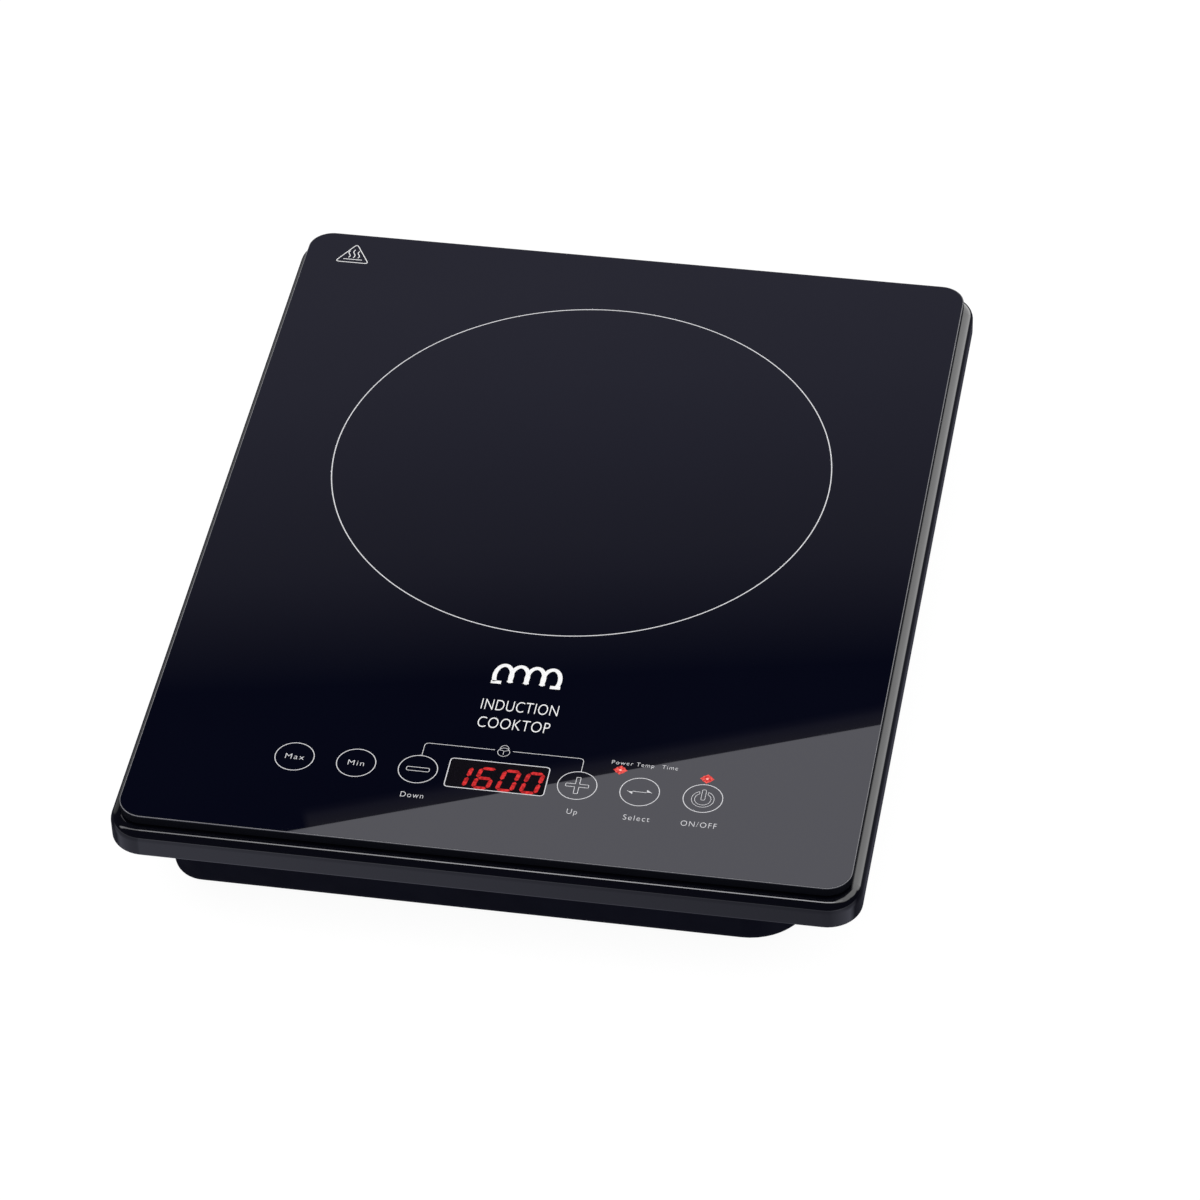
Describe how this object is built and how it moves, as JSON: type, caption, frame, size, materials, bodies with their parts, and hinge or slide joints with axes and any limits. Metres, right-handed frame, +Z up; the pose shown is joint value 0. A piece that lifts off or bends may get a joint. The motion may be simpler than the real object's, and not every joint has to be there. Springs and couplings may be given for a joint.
{
  "type": "electric induction cooktop",
  "caption": "Low portable hob with a flat black glass plate on a gloss frame, a drafted lower case on feet, a coil, boards and a cooling fan that spins inside.",
  "frame": {"origin": "on the table under the middle of the glass, at the bottom of the feet", "axes": "+X right, +Y back (away from the touch panel), +Z up"},
  "size_m": [0.288, 0.367, 0.053],
  "materials": {
    "glass": "black gloss toughened glass, printed behind",
    "frame": "gloss black moulding",
    "case": "satin black moulding",
    "rubber": "black rubber",
    "silicone": "black silicone",
    "sensor_silicone": "white silicone",
    "screw_steel": "zinc plated",
    "black_plastic": "moulded black",
    "former_plastic": "glass-filled nylon",
    "copper": "enamelled copper strands",
    "ferrite": "dark sintered ferrite",
    "mica": "pressed mica sheet",
    "aluminium": "mill finish",
    "spring_steel": "spring steel",
    "fan_plastic": "moulded black",
    "brass": "brass",
    "board_green": "solder-masked laminate",
    "device_black": "moulded package",
    "cap_red": "film capacitor case",
    "cap_yellow": "film capacitor case",
    "can_sleeve": "sleeved can",
    "core_yellow": "coated toroid",
    "varistor_blue": "epoxy dipped",
    "fuse_glass": "glass and caps",
    "resistor_blue": "lacquered body",
    "white_plastic": "white nylon",
    "display_black": "display housing",
    "lamp_red": "red lamp",
    "ribbon_grey": "flat cable",
    "wire_brown": "wire insulation",
    "sleeve_white": "glass-fibre sleeve",
    "steel_core": "laminated steel",
    "pad_grey": "thermal pad"
  },
  "bodies": {
    "cooktop": {"glass_plate": "glass", "glass_seal": "silicone", "top_frame": "frame", "bottom_case": "case", "rubber_feet": "rubber", "case_screws": "screw_steel", "cord_gland": "black_plastic", "coil_former": "former_plastic", "induction_coil": "copper", "ferrite_bars": "ferrite", "mica_sheet": "mica", "coil_shield": "aluminium", "coil_springs": "spring_steel", "sensor_holder": "sensor_silicone", "temperature_sensor": "aluminium", "fan_frame": "fan_plastic", "fan_bearing": "brass", "fan_stator": "steel_core", "fan_screws": "screw_steel", "air_duct": "black_plastic", "main_board": "board_green", "heat_sink": "aluminium", "power_transistor": "device_black", "bridge_rectifier": "device_black", "device_pads": "pad_grey", "device_screws": "screw_steel", "bus_capacitor": "cap_red", "resonant_capacitor": "cap_red", "line_capacitor": "cap_yellow", "choke_core": "core_yellow", "choke_winding": "copper", "choke_base": "black_plastic", "electrolytic_capacitors": "can_sleeve", "supply_transformer": "core_yellow", "varistor": "varistor_blue", "fuse": "fuse_glass", "fuse_clips": "spring_steel", "board_chips": "device_black", "power_resistors": "resistor_blue", "buzzer": "black_plastic", "current_transformer": "varistor_blue", "wire_headers": "white_plastic", "coil_terminals": "brass", "lead_lugs": "brass", "mains_tabs": "brass", "control_board": "board_green", "led_display": "display_black", "key_springs": "spring_steel", "indicator_lamps": "lamp_red", "touch_chip": "device_black", "ribbon_cable": "ribbon_grey", "board_screws": "screw_steel", "terminal_block": "white_plastic", "terminal_screws": "screw_steel", "mains_wires": "wire_brown", "coil_leads": "sleeve_white", "signal_wires": "wire_brown"},
    "fan": {"fan_rotor": "fan_plastic", "rotor_magnet": "ferrite", "fan_shaft": "spring_steel"}
  },
  "joints": [
    {"name": "fan_spin", "type": "hinge", "parent": "cooktop", "child": "fan", "pos_m": [-0.066, 0.096, 0.018], "axis": [0, 0, 1], "continuous": true}
  ]
}
